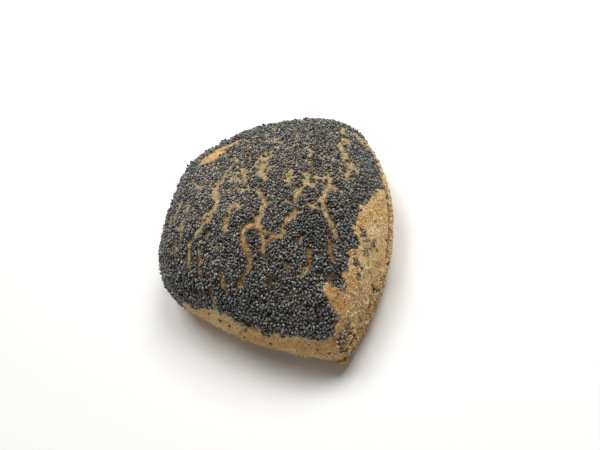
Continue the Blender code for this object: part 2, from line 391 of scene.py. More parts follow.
class CrustMarks:
    """What the crust is like at each of a set of points, in mm: its splits, seeds, relief and browning."""

    def __init__(self, points):
        wander = np.stack([ripple(points, 2.6, shift) for shift in (1, 2, 6)], axis=1)
        bent = points + 0.55 * wander
        self.height = points[:, 2]
        self.on_top = ease(self.height, 9.0, 13.0)
        ragged = 0.35 * ripple(points, 1.4, 3)
        fray = 0.5 * ragged + 0.22 * ripple(points, 0.9, 8)
        # cleared says how surely the seeds are gone: they leave a split or a patch clear to its full width
        self.channel, self.patch, self.side, self.cleared = np.zeros((4, len(points)))
        self.depth, self.brown, self.grey = np.zeros((3, len(points)))
        for line, half_width, depth, brown in CHANNELS:
            distance = line_distance(bent, line) + ragged
            near = self.on_top * (1 - ease(distance, 0.35 * half_width, 1.1 * half_width + 0.15))
            cleared = 1 - ease(distance + fray, half_width, half_width + 0.30)
            self.keep_most(channel=near, cleared=cleared, depth=depth * near, brown=brown * near)
        for line, half_width, depth, brown in BARE_PATCHES:
            distance = line_distance(bent, line) + ragged
            near = self.on_top * (1 - ease(distance, half_width - 0.4, half_width + 0.6))
            cleared = 1 - ease(distance, half_width + 0.10, half_width + 0.45)
            self.keep_most(patch=near, cleared=cleared, depth=depth * near, brown=brown * near)
        for line, half_width, depth, brown, grey in SIDE_MARKS:
            distance = line_distance(points + 0.25 * wander, line) + 0.4 * ragged
            near = 1 - ease(distance, 0.25 * half_width, 1.1 * half_width)
            self.keep_most(side=near, depth=depth * near, brown=brown * near, grey=grey * near)
        self.edge = inside_loop(bent, SEED_EDGE) + 0.5 * ripple(points, 1.7, 4)
        self.raised = self.height + 1.8 * ripple(points, 6.0, 5)
        self.seeded = ease(self.edge, -0.2, 0.6) * ease(self.raised, 10.8, 13.4)
        self.bare = 1 - self.seeded * (1 - np.maximum(self.channel, self.patch))
        self.tip = 1 - ease(np.linalg.norm(points - np.array(TORN_TIP), axis=1), 3.0, 6.0)
        # seeds lie heaped towards the front, and thin out to the back and left
        self.heaped = np.clip(0.95 - 0.75 * rearward(points, 0.25, -12, 14), 0, 1)
        # the seeded crust rose in clumps: the valleys between are long on the left and short at the back
        left = 1 - ease(points[:, 0] + 0.5 * points[:, 1], -26, 0)
        back = rearward(points, 0.15, -6, 8)
        far = rearward(points, 0.15, 10, 22)
        long_cells, small_cells, round_cells = (
            cell_border(bent, size, stretch, shift) * size
            for size, stretch, shift in ((2.7, 4.5, 1), (3.0, 1.3, 4), (4.6, 1.3, 2))
        )
        valley = np.maximum.reduce([
            (1 - ease(long_cells, 0.10, 0.34)) * left,
            (1 - ease(small_cells, 0.08, 0.28)) * (1 - left) * back,
            (1 - ease(round_cells, 0.10, 0.34)) * (1 - left) * (1 - back),
        ])
        opened = ease(ripple(points, 5.0, 7) - 0.30 * far - 0.05 * back, -0.06 - 0.10 * left, 0.18)
        self.valley = valley * opened
        clumps = np.where(left > 0.5, long_cells, np.where(back > 0.5, small_cells, round_cells))
        self.dome = ease(clumps, 0.1, 1.5)
        # the torn tip is a net of thin walls with pits between them
        self.pits = ease(cell_border(bent, 2.0, 1.0, 3), 0.07, 0.22)

    def keep_most(self, **marks):
        """Where marks of one kind overlap, the strongest counts."""
        for kind, strength in marks.items():
            setattr(self, kind, np.maximum(getattr(self, kind), strength))


def crust_relief(points, marks, sizes):
    """How far each point of the crust moves outwards, in mm."""
    lumps = sizes.lump_height / MM * (0.7 * ripple(points, 5.5, 11) + 0.4 * ripple(points, 2.4, 12))
    grain = 0.07 * ripple(points, 1.1, 13) + 0.05 * ripple(points, 0.6, 14)
    relief = lumps * marks.on_top * (0.35 + 0.65 * marks.seeded) + grain
    relief += marks.seeded * (0.80 * marks.dome - 0.50 * marks.valley - 0.25)
    relief -= sizes.bed_depth / MM * marks.seeded * (1 - marks.channel)
    relief -= marks.depth
    # a pinched lip stands out along the right side
    lip = bell(line_distance(points, LIP), 1.4)
    relief += 0.85 * (1 + 0.45 * ripple(points, 2.2, 15)) * lip * (1 - marks.side)
    relief += 0.9 * lip * np.maximum(ripple(points, 1.1, 20), -0.1)
    relief += marks.tip * (0.55 * ripple(points, 2.6, 16) + 0.85 - 1.50 * marks.pits)
    # the right side is ragged below, from the tip backwards
    around = -bearing(points)
    ragged = ease(around, 16, 30) * (1 - ease(around, 50, 56))
    ragged *= (1 - ease(marks.height, 15, 21)) * ease(marks.height, 3, 6)
    relief += ragged * (1.30 * ripple(points, 2.2, 18) + 1.40 * np.abs(ripple(points, 1.1, 19)) - 0.30)
    # what stands out further than this is held back, so that the crust keeps to the solid's outline
    proud = 0.9
    relief = np.where(relief > proud, proud + 0.45 * (relief - proud), relief)
    # the base stays flat where it rests
    return relief * ease(points[:, 2], 0.05, 1.5)


def to_mm(coordinates):
    """Metres in the frame to mm from the middle of the base."""
    return (np.asarray(coordinates, float) - np.array(BASE_MIDDLE)) / MM


def mesh_points(mesh):
    """A mesh's vertices and their normals, as two arrays."""
    coordinates = np.empty(len(mesh.vertices) * 3, np.float32)
    normals = np.empty(len(mesh.vertices) * 3, np.float32)
    mesh.vertices.foreach_get("co", coordinates)
    mesh.vertices.foreach_get("normal", normals)
    return coordinates.reshape(-1, 3).astype(float), normals.reshape(-1, 3).astype(float)


def add_measure(mesh, name, values):
    """Keeps one number for each vertex, for a material to read."""
    mesh.attributes.new(name, "FLOAT", "POINT").data.foreach_set("value", np.asarray(values, np.float32))


def placed(name, data):
    """A new object in the scene that holds the data."""
    holder = bpy.data.objects.new(name, data)
    bpy.context.scene.collection.objects.link(holder)
    return holder


def mesh_of(body, name):
    """A mesh made from a bmesh, which is then let go."""
    mesh = bpy.data.meshes.new(name)
    body.to_mesh(mesh)
    body.free()
    return mesh


def finish_piece(mesh, name, material):
    """Makes a mesh one of the roll's pieces, at the origin, on the roll's one body."""
    piece = placed(name, mesh)
    mesh.materials.clear()
    mesh.materials.append(material)
    mesh.shade_smooth()
    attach(piece, "root")
    return piece


def crust_cage():
    """The roll's solid as welded quads, with one face for its flat base and a firm edge round it."""
    cage = bmesh.new()
    cage.from_mesh(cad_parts["roll"].data)
    bmesh.ops.remove_doubles(cage, verts=cage.verts, dist=0.01 * MM)
    flat = [f for f in cage.faces if max(v.co.z for v in f.verts) < ROLL_LOW.z + 0.01 * MM]
    bmesh.ops.dissolve_faces(cage, faces=flat)
    bmesh.ops.join_triangles(
        cage, faces=cage.faces, angle_face_threshold=math.radians(50), angle_shape_threshold=math.radians(70)
    )
    base = min(cage.faces, key=lambda f: f.calc_center_median().z)
    crease = cage.edges.layers.float.new("crease_edge")
    for edge in base.edges:
        edge[crease] = 0.7
    bmesh.ops.recalc_face_normals(cage, faces=cage.faces)
    return cage


def smooth_crust_mesh(cage):
    """The cage after two rounds of subdivision, as a mesh."""
    rough = mesh_of(cage, "crust_cage")
    holder = placed("crust_cage", rough)
    smoother = holder.modifiers.new("smooth", "SUBSURF")
    smoother.levels = smoother.render_levels = 2
    mesh = bpy.data.meshes.new_from_object(holder.evaluated_get(bpy.context.evaluated_depsgraph_get()))
    bpy.data.objects.remove(holder)
    bpy.data.meshes.remove(rough)
    return mesh


def refined(mesh, wanted):
    """Halves the edges of the faces at the wanted vertices, so that the crust holds finer relief there."""
    body = bmesh.new()
    body.from_mesh(mesh)
    faces = {face for vert in body.verts if wanted[vert.index] for face in vert.link_faces}
    edges = [edge for edge in body.edges if faces.intersection(edge.link_faces)]
    bmesh.ops.subdivide_edges(body, edges=edges, cuts=1, use_grid_fill=True)
    body.to_mesh(mesh)
    body.free()
    return mesh


def baked_crust_material(colours):
    """Baked bread crust: dry and matt, golden where thin and brown where it split or lay low, with flecks of
    flour and a fine grain that breaks up the light."""
    material, tree, place = new_material("baked bread crust")
    # the first of these is painted shade under and between the seeds; grey also holds painted shade in the
    # grooves, and the flour measure a painted highlight on the lip
    measure = {
        name: add_node(tree, "ShaderNodeAttribute", {"attribute_name": name}).outputs["Fac"]
        for name in ("painted_seed_shade", "brown", "dusty", "grey", "flour_and_highlight", "fibrous")
    }
    # the skin was drawn out along the right side, which left it streaked that way
    drawn = add_node(
        tree, "ShaderNodeMapping", {"vector_type": "TEXTURE"},
        {"Vector": place, "Rotation": (0.0, 0.0, math.radians(-16)), "Scale": (1.0, 7.0, 1.0)},
    ).outputs["Vector"]
    # sizes in mm: clouds of baking, patches, the blistered grain, the sand between, specks and drawn streaks
    clouds = {
        name: add_node(
            tree, "ShaderNodeTexNoise", {},
            {"Vector": where, "Scale": 1 / (size * MM), "Detail": detail, "Roughness": 0.6},
        ).outputs["Fac"]
        for name, where, size, detail in (
            ("bake", place, 9.0, 3.0), ("patch", place, 3.0, 3.0), ("grain", place, 1.0, 2.0),
            ("sand", place, 0.5, 1.0), ("speck", place, 1.2, 0.0), ("streak", drawn, 1.0, 2.0),
        )
    }
    # how much each cloud does, from its low to its high values
    shares = {
        name: add_node(
            tree, "ShaderNodeMapRange", {"interpolation_type": "SMOOTHSTEP"},
            {"Value": clouds[cloud], "From Min": low, "From Max": high, "To Min": least, "To Max": most},
        ).outputs["Result"]
        for name, cloud, low, high, least, most in (
            ("toasting", "bake", 0.38, 0.66, 0.0, 1.0), ("patches", "patch", 0.40, 0.62, 0.0, 0.7),
            ("browner", "patch", 0.35, 0.65, 0.4, 1.5), ("flour", "sand", 0.53, 0.64, 0.0, 1.0),
            ("blisters", "grain", 0.38, 0.60, 0.72, 1.0), ("sandy", "sand", 0.36, 0.60, 0.72, 1.0),
            ("specks", "speck", 0.64, 0.74, 0.0, 0.7), ("streaks", "streak", 0.60, 0.42, 0.0, 1.0),
            ("dull", "grain", 0.30, 0.70, 0.50, 0.78),
        )
    }
    browning, fleck_and_highlight, shade, streak = (
        add_node(
            tree, "ShaderNodeMath", {"operation": "MULTIPLY", "use_clamp": True}, {0: one, 1: other}
        ).outputs[0]
        for one, other in (
            (measure["brown"], shares["browner"]), (measure["flour_and_highlight"], shares["flour"]),
            (shares["blisters"], shares["sandy"]), (measure["fibrous"], shares["streaks"]),
        )
    )
    streaked = add_node(tree, "ShaderNodeMath", {"operation": "MULTIPLY_ADD"}, {0: streak, 1: -0.16, 2: 1.0})
    tone = opaque(colours.golden)
    # each is laid over the last; grey is a grey blemish and painted shade in the grooves, and painted shade
    # darkens the crust under and between the seeds and in the front splits
    for blend, share, colour in (
        ("MIX", shares["toasting"], opaque(colours.toasted)),
        ("MIX", shares["patches"], opaque(colours.toasted)),
        ("MIX", measure["dusty"], opaque(colours.dusty)),
        ("MIX", browning, opaque(colours.brown)),
        ("MIX", shares["specks"], opaque(colours.brown)),
        # grey: a grey blemish, and painted shade in the grooves
        ("MIX", measure["grey"], opaque(srgb("4E4B3E"))),
        # flour flecks, which along the right lip make a painted highlight
        ("MIX", fleck_and_highlight, opaque(colours.flour)),
        ("MULTIPLY", 1.0, shade),
        ("MULTIPLY", 1.0, streaked.outputs[0]),
        # painted shade under and between the seeds and in the front splits
        ("MIX", measure["painted_seed_shade"], opaque(srgb("3A2E20"))),
    ):
        mixed = add_node(
            tree, "ShaderNodeMix", {"data_type": "RGBA", "blend_type": blend}, {0: share, 6: tone, 7: colour}
        )
        tone = mixed.outputs[2]
    # the light is broken up by patches, grain and sand, and by the grooves between streaks
    height = 0.0
    layers = ((clouds["patch"], 0.35), (clouds["grain"], 0.6), (clouds["sand"], 0.4), (streak, -0.2))
    for cloud, amount in layers:
        height = add_node(
            tree, "ShaderNodeMath", {"operation": "MULTIPLY_ADD"}, {0: cloud, 1: amount, 2: height}
        ).outputs[0]
    bump = add_node(tree, "ShaderNodeBump", {}, {"Height": height, "Strength": 0.9, "Distance": 0.7 * MM})
    return finish_material(material, {
        "Base Color": tone, "Roughness": shares["dull"], "Normal": bump.outputs["Normal"],
        "IOR": 1.45, "Specular IOR Level": 0.18,
    })


def seed_coat_material(name, colour, roughness):
    """Poppy seed coat: hard and dry with a satin shine, pitted by a net of tiny cells that softens its
    highlights, and dusted with crumb."""
    material, tree, place = new_material(name)
    tone = add_node(tree, "ShaderNodeAttribute", {"attribute_name": "tone"}).outputs["Fac"]
    shaded = add_node(
        tree, "ShaderNodeMix", {"data_type": "RGBA", "blend_type": "MULTIPLY"},
        {0: 1.0, 6: opaque(colour), 7: tone},
    )
    dust = add_node(tree, "ShaderNodeTexNoise", {}, {"Vector": place, "Scale": 1 / (0.5 * MM), "Detail": 2.0})
    dusting = add_node(
        tree, "ShaderNodeMapRange", {},
        {"Value": dust.outputs["Fac"], "From Min": 0.45, "From Max": 0.75, "To Max": 0.3},
    )
    dusted = add_node(
        tree, "ShaderNodeMix", {"data_type": "RGBA"},
        {0: dusting.outputs["Result"], 6: shaded.outputs[2], 7: opaque(srgb("7A746A"))},
    )
    # the net's cells are 0.1 mm across on a real seed, and are drawn a little coarser so that they show
    net = add_node(
        tree, "ShaderNodeTexVoronoi", {"feature": "DISTANCE_TO_EDGE"},
        {"Vector": place, "Scale": 1 / (0.14 * MM)},
    )
    pits = add_node(
        tree, "ShaderNodeMapRange", {}, {"Value": net.outputs["Distance"], "From Min": 0.0, "From Max": 0.25}
    )
    bump = add_node(
        tree, "ShaderNodeBump", {"invert": True},
        {"Height": pits.outputs["Result"], "Strength": 0.3, "Distance": 0.02 * MM},
    )
    return finish_material(material, {
        "Base Color": dusted.outputs[2], "Roughness": roughness, "Normal": bump.outputs["Normal"],
        "IOR": 1.48, "Specular IOR Level": 0.95,
    })


def crumb_material(colours):
    """Dry bread crumb: pale, open and quite matt, scattered along the torn edges."""
    material, tree, place = new_material("dry bread crumb")
    spots = add_node(
        tree, "ShaderNodeTexNoise", {}, {"Vector": place, "Scale": 1 / (1.6 * MM), "Detail": 2.0}
    )
    share = add_node(
        tree, "ShaderNodeMapRange", {}, {"Value": spots.outputs["Fac"], "From Min": 0.35, "From Max": 0.65}
    )
    colour = add_node(
        tree, "ShaderNodeMix", {"data_type": "RGBA"},
        {0: share.outputs["Result"], 6: opaque(colours.golden), 7: opaque(colours.flour)},
    )
    fine = add_node(tree, "ShaderNodeTexNoise", {}, {"Vector": place, "Scale": 1 / (0.3 * MM)})
    bump = add_node(
        tree, "ShaderNodeBump", {}, {"Height": fine.outputs["Fac"], "Strength": 0.5, "Distance": 0.1 * MM}
    )
    return finish_material(material, {
        "Base Color": colour.outputs[2], "Roughness": 0.85, "Normal": bump.outputs["Normal"],
        "Specular IOR Level": 0.3,
    })


def table_material(colours):
    """White laminate: even and matt, with a very faint unevenness in its gloss."""
    material, tree, place = new_material("white laminate")
    clouds = add_node(tree, "ShaderNodeTexNoise", {}, {"Vector": place, "Scale": 1 / (60 * MM)})
    rough = add_node(
        tree, "ShaderNodeMapRange", {}, {"Value": clouds.outputs["Fac"], "To Min": 0.7, "To Max": 0.85}
    )
    return finish_material(material, {
        "Base Color": opaque(colours.floor), "Roughness": rough.outputs["Result"], "Specular IOR Level": 0.2,
    })


def surface_samples(mesh, count, draws):
    """Points spread evenly over a mesh, with the smooth normal at each, in metres."""
    mesh.calc_loop_triangles()
    corners = np.empty(len(mesh.loop_triangles) * 3, np.int32)
    mesh.loop_triangles.foreach_get("vertices", corners)
    corners = corners.reshape(-1, 3)
    places, normals = mesh_points(mesh)
    a, b, c = (places[corners[:, i]] for i in range(3))
    area = np.linalg.norm(np.cross(b - a, c - a), axis=1)
    picked = draws.choice(len(corners), size=count, p=area / area.sum())
    u, v = draws.random(count), draws.random(count)
    flip = u + v > 1
    u[flip], v[flip] = 1 - u[flip], 1 - v[flip]
    weights = np.stack([1 - u - v, u, v], axis=1)[:, :, None]
    point = (places[corners[picked]] * weights).sum(axis=1)
    normal = (normals[corners[picked]] * weights).sum(axis=1)
    return point, normal / np.linalg.norm(normal, axis=1)[:, None]


def spaced(points, allowed, gap):
    """Picks from points in turn, leaving out any that is nearer than its gap to one already picked."""
    cell = float(gap.max())
    keys = np.floor(points / cell).astype(int)
    filled, kept = {}, []
    for i in np.flatnonzero(allowed):
        x, y, z = keys[i]
        near = (
            j
            for dx in (-1, 0, 1)
            for dy in (-1, 0, 1)
            for dz in (-1, 0, 1)
            for j in filled.get((x + dx, y + dy, z + dz), ())
        )
        reach = gap[i] ** 2
        px, py, pz = points[i]
        if any(
            (points[j, 0] - px) ** 2 + (points[j, 1] - py) ** 2 + (points[j, 2] - pz) ** 2 < reach
            for j in near
        ):
            continue
        filled.setdefault((x, y, z), []).append(i)
        kept.append(i)
    return np.array(kept, int)


def order_in_space(point):
    """A number that sorts points by x, then y, then z, so that a shape comes out the same each run."""
    return round(point.x, 3) * 1e8 + round(point.y, 3) * 1e4 + round(point.z, 3)


def small_ball(around, upwards, radius):
    """A ball as a bmesh, with its corners and faces in the same order each run."""
    ball = bmesh.new()
    bmesh.ops.create_uvsphere(ball, u_segments=around, v_segments=upwards, radius=radius)
    ball.verts.sort(key=lambda vert: order_in_space(vert.co))
    ball.faces.sort(key=lambda face: order_in_space(face.calc_center_median()))
    return ball


def seed_shape(sizes, bend, plump):
    """One poppy seed as a bmesh: a small kidney, rounded at both ends and hollowed on one side."""
    seed = small_ball(8, 4, 1.0)
    bmesh.ops.rotate(seed, verts=seed.verts, matrix=Matrix.Rotation(math.pi / 2, 3, "Y"))
    for vert in seed.verts:
        x, y, z = vert.co
        hollow = 1 - 0.30 * math.exp(-((x / 0.42) ** 2)) * (y < 0)
        taper = 1 - 0.14 * x
        vert.co = Vector((x, (y * hollow - bend * x * x + 0.3 * bend) * taper, z * taper * plump))
    scale = Vector((sizes.seed_length / 2, sizes.seed_width / 2, sizes.seed_thickness / 2))
    bmesh.ops.scale(seed, verts=seed.verts, vec=scale)
    bmesh.ops.recalc_face_normals(seed, faces=seed.faces)
    return seed


def crumb_shape(draws):
    """One crumb as a bmesh: a small ragged lump about one unit across."""
    crumb = small_ball(6, 4, 0.5)
    for vert in crumb.verts:
        vert.co *= draws.uniform(0.6, 1.35)
    bmesh.ops.recalc_face_normals(crumb, faces=crumb.faces)
    return crumb


def scattered_mesh(name, shapes, chosen, places, turns, scales, tones):
    """Joins many copies of a few shapes, each placed, turned, scaled and given its tone, into one mesh."""
    vertices, faces, tone, start = [], [], [], 0
    for number, shape in enumerate(shapes):
        shape.verts.index_update()
        local = np.array([v.co for v in shape.verts])
        loops = [[v.index for v in f.verts] for f in shape.faces]
        # each face starts at its first corner, so that it comes out the same each run
        loops = [loop[loop.index(min(loop)) :] + loop[: loop.index(min(loop))] for loop in loops]
        mine = np.flatnonzero(chosen == number)
        turned = np.einsum("nij,vj->nvi", turns[mine], local)
        world = turned * scales[mine, None, None] + places[mine, None, :]
        vertices.append(world.reshape(-1, 3))
        for copy in range(len(mine)):
            first = start + copy * len(local)
            faces.extend([first + i for i in loop] for loop in loops)
        tone.append(np.repeat(tones[mine], len(local)))
        start += len(mine) * len(local)
    mesh = bpy.data.meshes.new(name)
    mesh.from_pydata(np.concatenate(vertices).tolist(), [], faces)
    add_measure(mesh, "tone", np.concatenate(tone))
    return mesh


def lying_turns(normals, draws, tilt):
    """For each normal, a turn that lays a shape's z along it, heads it anywhere, and tilts it a little."""
    count = len(normals)
    heading = draws.uniform(0, 2 * math.pi, count)
    helper = np.where(np.abs(normals[:, :1]) < 0.8, [[1.0, 0, 0]], [[0, 1.0, 0]])
    first = np.cross(normals, helper)
    first /= np.linalg.norm(first, axis=1)[:, None]
    second = np.cross(normals, first)
    along = first * np.cos(heading)[:, None] + second * np.sin(heading)[:, None]
    swayed = first * draws.normal(0, 0.7, (count, 1)) + second * draws.normal(0, 0.7, (count, 1))
    lean = normals + np.tan(tilt)[:, None] * swayed
    lean /= np.linalg.norm(lean, axis=1)[:, None]
    along -= (along * lean).sum(axis=1)[:, None] * lean
    along /= np.linalg.norm(along, axis=1)[:, None]
    return np.stack([along, np.cross(lean, along), lean], axis=2)


def seed_chance(points, marks):
    """How likely a seed is to have stayed at each point, from 0 to 1."""
    inside = ease(marks.edge, -0.15, 0.35) * ease(marks.raised, 10.2, 12.4)
    stray = 0.05 * ease(marks.edge, -1.8, -0.1) * marks.on_top
    chance = np.maximum(inside, stray)
    chance *= 1 - 0.95 * marks.cleared * marks.on_top
    chance *= 1 - (0.95 - 0.45 * marks.heaped) * ease(marks.valley, 0.35, 0.80)
    # small gaps open everywhere, and more of them at the back
    back = rearward(points, 0.15, -12, 10)
    gaps = ripple(points, 0.9, 21) + 0.20 * ripple(points, 3.2, 22)
    chance *= (1 - 0.04 * back) * (1 - 0.95 * ease(gaps, 0.78 - 0.12 * back, 0.88 - 0.12 * back))
    for middle, radius, share in THIN_AREAS:
        chance *= 1 - ease(radius - level_distance(points, middle), 0.0, 1.0) * (1 - share)
    clustered = ripple(points, 1.5, 23)
    for middle, radius, share in OUTLYING_SEEDS:
        distance = np.linalg.norm(points - np.array(middle), axis=1) + 0.9 * clustered
        chance = np.maximum(chance, share * ease(radius - distance, -0.3, 0.4))
    return chance * (1 - marks.side)


def crust_looks(points, marks):
    """How much painted shade, brown, dust, grey, flour and fibre the crust has at each point, for its
    material.
    """
    around = -bearing(points)
    front_share = 1 - rearward(points, 0.3, -16, 10)
    foremost = 1 - rearward(points, 0.3, -30, -8)
    low = 1 - ease(marks.height + 2.0 * ripple(points, 8.0, 31), 1.0, 17.0)
    front = ease(around, 50, 75) * (1 - ease(marks.height, 15, 22))
    # painted light: the left foot is kept less brown, which lightens it where it lies in shade
    left_foot = 1 - 0.85 * ease(around, 95, 115) * (1 - ease(around, 150, 165))
    near_seeds = bell(marks.edge + 1.0, 3.0) * ease(marks.height, 16, 24)
    blotches = ease(ripple(points, 4.5, 34) + 0.4 * ripple(points, 1.6, 35), -0.05, 0.5)
    walls = 4 * marks.channel * (1 - marks.channel)
    flank = ease(points[:, 0], 24, 34) * ease(marks.height, 5, 10)
    brown = np.maximum.reduce([
        marks.brown,
        0.68 * low * left_foot,
        0.38 * front * left_foot,
        0.95 * marks.tip * marks.pits,
        0.60 * blotches * near_seeds,
        0.45 * (1 - ease(level_distance(points, NOTCH), 2.0, 5.5)),
        0.55 * walls * (0.30 + 0.70 * front_share),
        0.45 * marks.seeded * ease(ripple(points, 2.0, 36), 0.15, 0.45),
    ])
    flour_and_highlight = 0.15 + 0.90 * flank * ease(ripple(points, 6.0, 33), -0.4, 0.3)
    # painted highlight: the lip of the right side is painted pale along its length
    flour_and_highlight += 1.5 * bell(line_distance(points, LIP), 1.8) * (1 - marks.side)
    flour_and_highlight += 1.2 * bell(line_distance(points, WISPS), 1.6) + 1.4 * marks.tip * (1 - marks.pits)
    # painted shade under and between the seeds, stronger towards the front, and in the front splits
    shade_under_seeds = (1 - ease(marks.bare, 0.0, 0.55)) * (1 - 0.5 * marks.valley * (1 - front_share))
    shade_in_front_splits = 0.50 * foremost * marks.channel * (1 + 1.8 * ripple(points, 1.1, 37))
    return {
        "painted_seed_shade": np.maximum(shade_under_seeds * (0.12 + 0.70 * front_share), shade_in_front_splits),
        "brown": np.clip(brown, 0, 1),
        "dusty": 0.75 * marks.seeded * (1 - 0.7 * marks.patch),
        "grey": marks.grey,
        "flour_and_highlight": np.clip(flour_and_highlight, 0, 1) * (1 - 0.6 * np.clip(brown, 0, 1)),
        "fibrous": ease(around, 8, 28) * (1 - ease(around, 54, 62)) * (1 - ease(marks.height, 20, 28)),
    }


class ROLL_OT_make_crust(bpy.types.Operator):
    """Makes the baked crust from the roll's solid, with its splits, lumps, torn tip and browning"""

    bl_idname = "roll.make_crust"
    bl_label = "Make Crust"

    def execute(self, context):
        scene = context.scene
        mesh = smooth_crust_mesh(crust_cage())
        points = to_mm(mesh_points(mesh)[0])
        marks = CrustMarks(points)
        flank = (marks.edge < 1.5) & (marks.height > 4) & (points[:, 0] > 24)
        mesh = refined(mesh, flank | (marks.channel > 0.1) | (marks.side > 0) | (marks.tip > 0))
        places, normals = mesh_points(mesh)
        points = to_mm(places)
        marks = CrustMarks(points)
        moved = places + normals * (crust_relief(points, marks, scene.roll_sizes) * MM)[:, None]
        mesh.vertices.foreach_set("co", moved.astype(np.float32).ravel())
        mesh.update()
        for name, values in crust_looks(points, marks).items():
            add_measure(mesh, name, values)
        mesh.name = "crust"
        crust = finish_piece(mesh, "crust", baked_crust_material(scene.roll_colours))
        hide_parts("roll")
        return {"FINISHED"}


def place_tree(places):
    """A tree of places that can be searched by distance."""
    tree = KDTree(len(places))
    for i, place in enumerate(places):
        tree.insert(place, i)
    tree.balance()
    return tree


def pushed_apart(places, normals, surface, reach, rounds):
    """Lets crowded seeds push each other apart over the crust, as shaking down does."""
    for _ in range(rounds):
        tree = place_tree(places)
        moved = []
        for i, place in enumerate(places):
            push = Vector()
            for other, j, distance in tree.find_range(place, reach):
                if j != i and distance > 0:
                    push += (place - other) / distance * (reach - distance)
            push -= normals[i] * push.dot(normals[i])
            push *= min(0.35, 0.25 * reach / max(push.length, 1e-9))
            moved.append(place + push)
        found = [surface.find_nearest(place) for place in moved]
        places = [hit[0] for hit in found]
        normals = [hit[1] for hit in found]
    return places, normals


def first_layer(points, cover, surface, spacing):
    """Seeds lying on the crust itself: sown, shaken down, and sown again where gaps are left."""
    chosen = spaced(points, cover, np.full(len(points), 0.90 * spacing))
    places = [Vector(points[i]) for i in chosen]
    for rounds in (4, 3):
        normals = [surface.find_nearest(place)[1] for place in places]
        places, normals = pushed_apart(places, normals, surface, 1.04 * spacing, rounds)
        held = np.array(places)
        pool = np.concatenate([held, points])
        open_spots = np.concatenate([np.ones(len(held), bool), cover])
        gap = np.concatenate([np.full(len(held), 0.2 * spacing), np.full(len(points), 0.88 * spacing)])
        places = [Vector(pool[i]) for i in spaced(pool, open_spots, gap)]
    return places, [surface.find_nearest(place)[1] for place in places]


def upper_layer(points, normals, heap, lower, spacing):
    """Points over the hollows of the layer below, where seeds lie heaped."""
    tree = place_tree(lower)
    held = np.zeros(len(points), bool)
    for i in np.flatnonzero(heap):
        near = [distance for _, _, distance in tree.find_range(Vector(points[i]), 1.2 * spacing)]
        held[i] = len(near) >= 3 and min(near) > 0.38 * spacing
    kept = spaced(points, held, np.full(len(points), 1.10 * spacing))
    return points[kept], normals[kept]


def lone_seed_places(surface):
    """Points of the bare crust where single seeds stick, with the crust's normals."""
    hits = [surface.find_nearest(BASE_MIDDLE + Vector(place) * MM)[:2] for place in LONE_SEEDS]
    return np.array([place for place, _ in hits]), np.array([normal for _, normal in hits])


def place_seeds(mesh, sizes, draws):
    """Where every poppy seed lies: its middle in metres, the crust's normal under it and its tilt."""
    surface = BVHTree.FromPolygons([v.co for v in mesh.vertices], [list(p.vertices) for p in mesh.polygons])
    points, normals = surface_samples(mesh, SEED_TRIALS, draws)
    reached = to_mm(points)[:, 2] > LOWEST_SEED
    points, normals = points[reached], normals[reached]
    marks = CrustMarks(to_mm(points))
    chance = seed_chance(to_mm(points), marks)
    sown = first_layer(points, chance > 0.05, surface, sizes.seed_spacing)
    low, low_normals = (np.array(each) for each in sown)
    stayed = draws.random(len(low)) < seed_chance(to_mm(low), CrustMarks(to_mm(low)))
    low, low_normals = low[stayed], low_normals[stayed]
    # the upper layer lies on the tops of the clumps
    heap = (chance > 0.6) & (marks.cleared < 0.05) & (marks.edge > 0.7) & (marks.valley < 0.3)
    heap &= draws.random(len(points)) < marks.heaped * (0.35 + 0.65 * marks.dome)
    high, high_normals = upper_layer(points, normals, heap, low, sizes.seed_spacing)
    lone, lone_normals = lone_seed_places(surface)
    # how high each seed's middle lies over the crust, as a share of its thickness, and how far it tilts
    lifts = np.concatenate([
        draws.uniform(0.28, 0.55, len(low)), draws.uniform(0.95, 1.25, len(high)), np.full(len(lone), 0.3)
    ])
    tilts = np.concatenate([
        np.abs(draws.normal(0, 0.35, len(low))), np.abs(draws.normal(0, 0.50, len(high))),
        np.full(len(lone), 0.15),
    ])
    normals = np.concatenate([low_normals, high_normals, lone_normals])
    places = np.concatenate([low, high, lone]) + normals * (sizes.seed_thickness * lifts)[:, None]
    return places, normals, tilts


class ROLL_OT_make_seeds(bpy.types.Operator):
    """Scatters the poppy seeds over the crust, in four kinds by colour"""

    bl_idname = "roll.make_seeds"
    bl_label = "Make Seeds"

    def execute(self, context):
        scene = context.scene
        sizes, colours = scene.roll_sizes, scene.roll_colours
        draws = np.random.default_rng(RNG_SEED)
        places, normals, tilts = place_seeds(bpy.data.objects["crust"].data, sizes, draws)
        count = len(places)
        turns = lying_turns(normals, draws, tilts)
        # each seed's size, its form, its kind by colour, and how pale it is beside others of its kind
        scales = draws.normal(1.0, 0.07, count).clip(0.8, 1.2)
        chosen = draws.integers(0, 3, count)
        kind = draws.choice(4, size=count, p=(0.28, 0.26, 0.25, 0.21))
        tones = draws.uniform(0.5, 1.6, count)
        # the paler areas are painted light on the seeds
        for middle, radius, bright in SHADED_AREAS:
            away = level_distance(to_mm(places), middle)
            tones *= 1 + (bright - 1) * (1 - ease(away, 0.6 * radius, 1.3 * radius))
        shapes = [seed_shape(sizes, *form) for form in ((0.16, 1.0), (0.26, 0.92), (0.10, 1.12))]
        finishes = (
            ("slate_seeds", seed_coat_material("poppy seed coat, slate", colours.slate, 0.26)),
            ("grey_seeds", seed_coat_material("poppy seed coat, grey", colours.grey, 0.28)),
            ("dark_seeds", seed_coat_material("poppy seed coat, dark", colours.black, 0.24)),
            ("pale_seeds", seed_coat_material("poppy seed coat, pale", colours.pale, 0.32)),
        )
        for number, (name, material) in enumerate(finishes):
            mine = kind == number
            copies = (chosen[mine], places[mine], turns[mine], scales[mine], tones[mine])
            finish_piece(scattered_mesh(name, shapes, *copies), name, material)
        for shape in shapes:
            shape.free()
        return {"FINISHED"}


